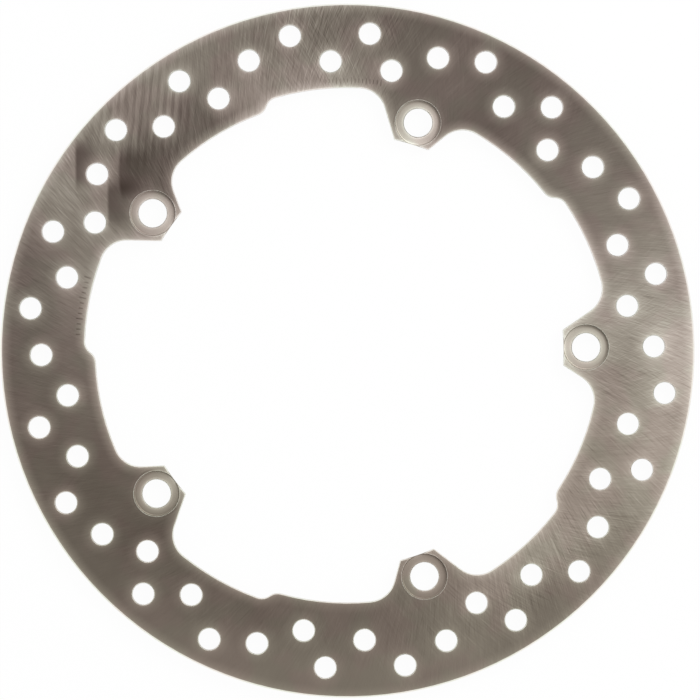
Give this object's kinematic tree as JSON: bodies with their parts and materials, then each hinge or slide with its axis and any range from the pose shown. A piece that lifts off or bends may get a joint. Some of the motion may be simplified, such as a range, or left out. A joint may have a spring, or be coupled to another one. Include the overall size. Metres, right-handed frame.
{
  "type": "motorcycle brake disc rotor",
  "caption": "Flat one-piece brake disc rotor: a drilled ground-steel ring whose inner lugs, counterbored on the outer face, bolt to a wheel hub.",
  "frame": {"origin": "on the disc's axis, in the plane of its hub-side face, which is the face it rests on", "axes": "+Z along the axis the disc turns about, from the hub side towards the outer, counterbored face; +X from the axis through the middle of one lug"},
  "size_m": [0.256, 0.256, 0.006],
  "materials": {
    "ground_steel": "surface-ground stainless steel with fine crossing grinding marks"
  },
  "bodies": {
    "root": {"brake_disc": "ground_steel"}
  },
  "joints": []
}
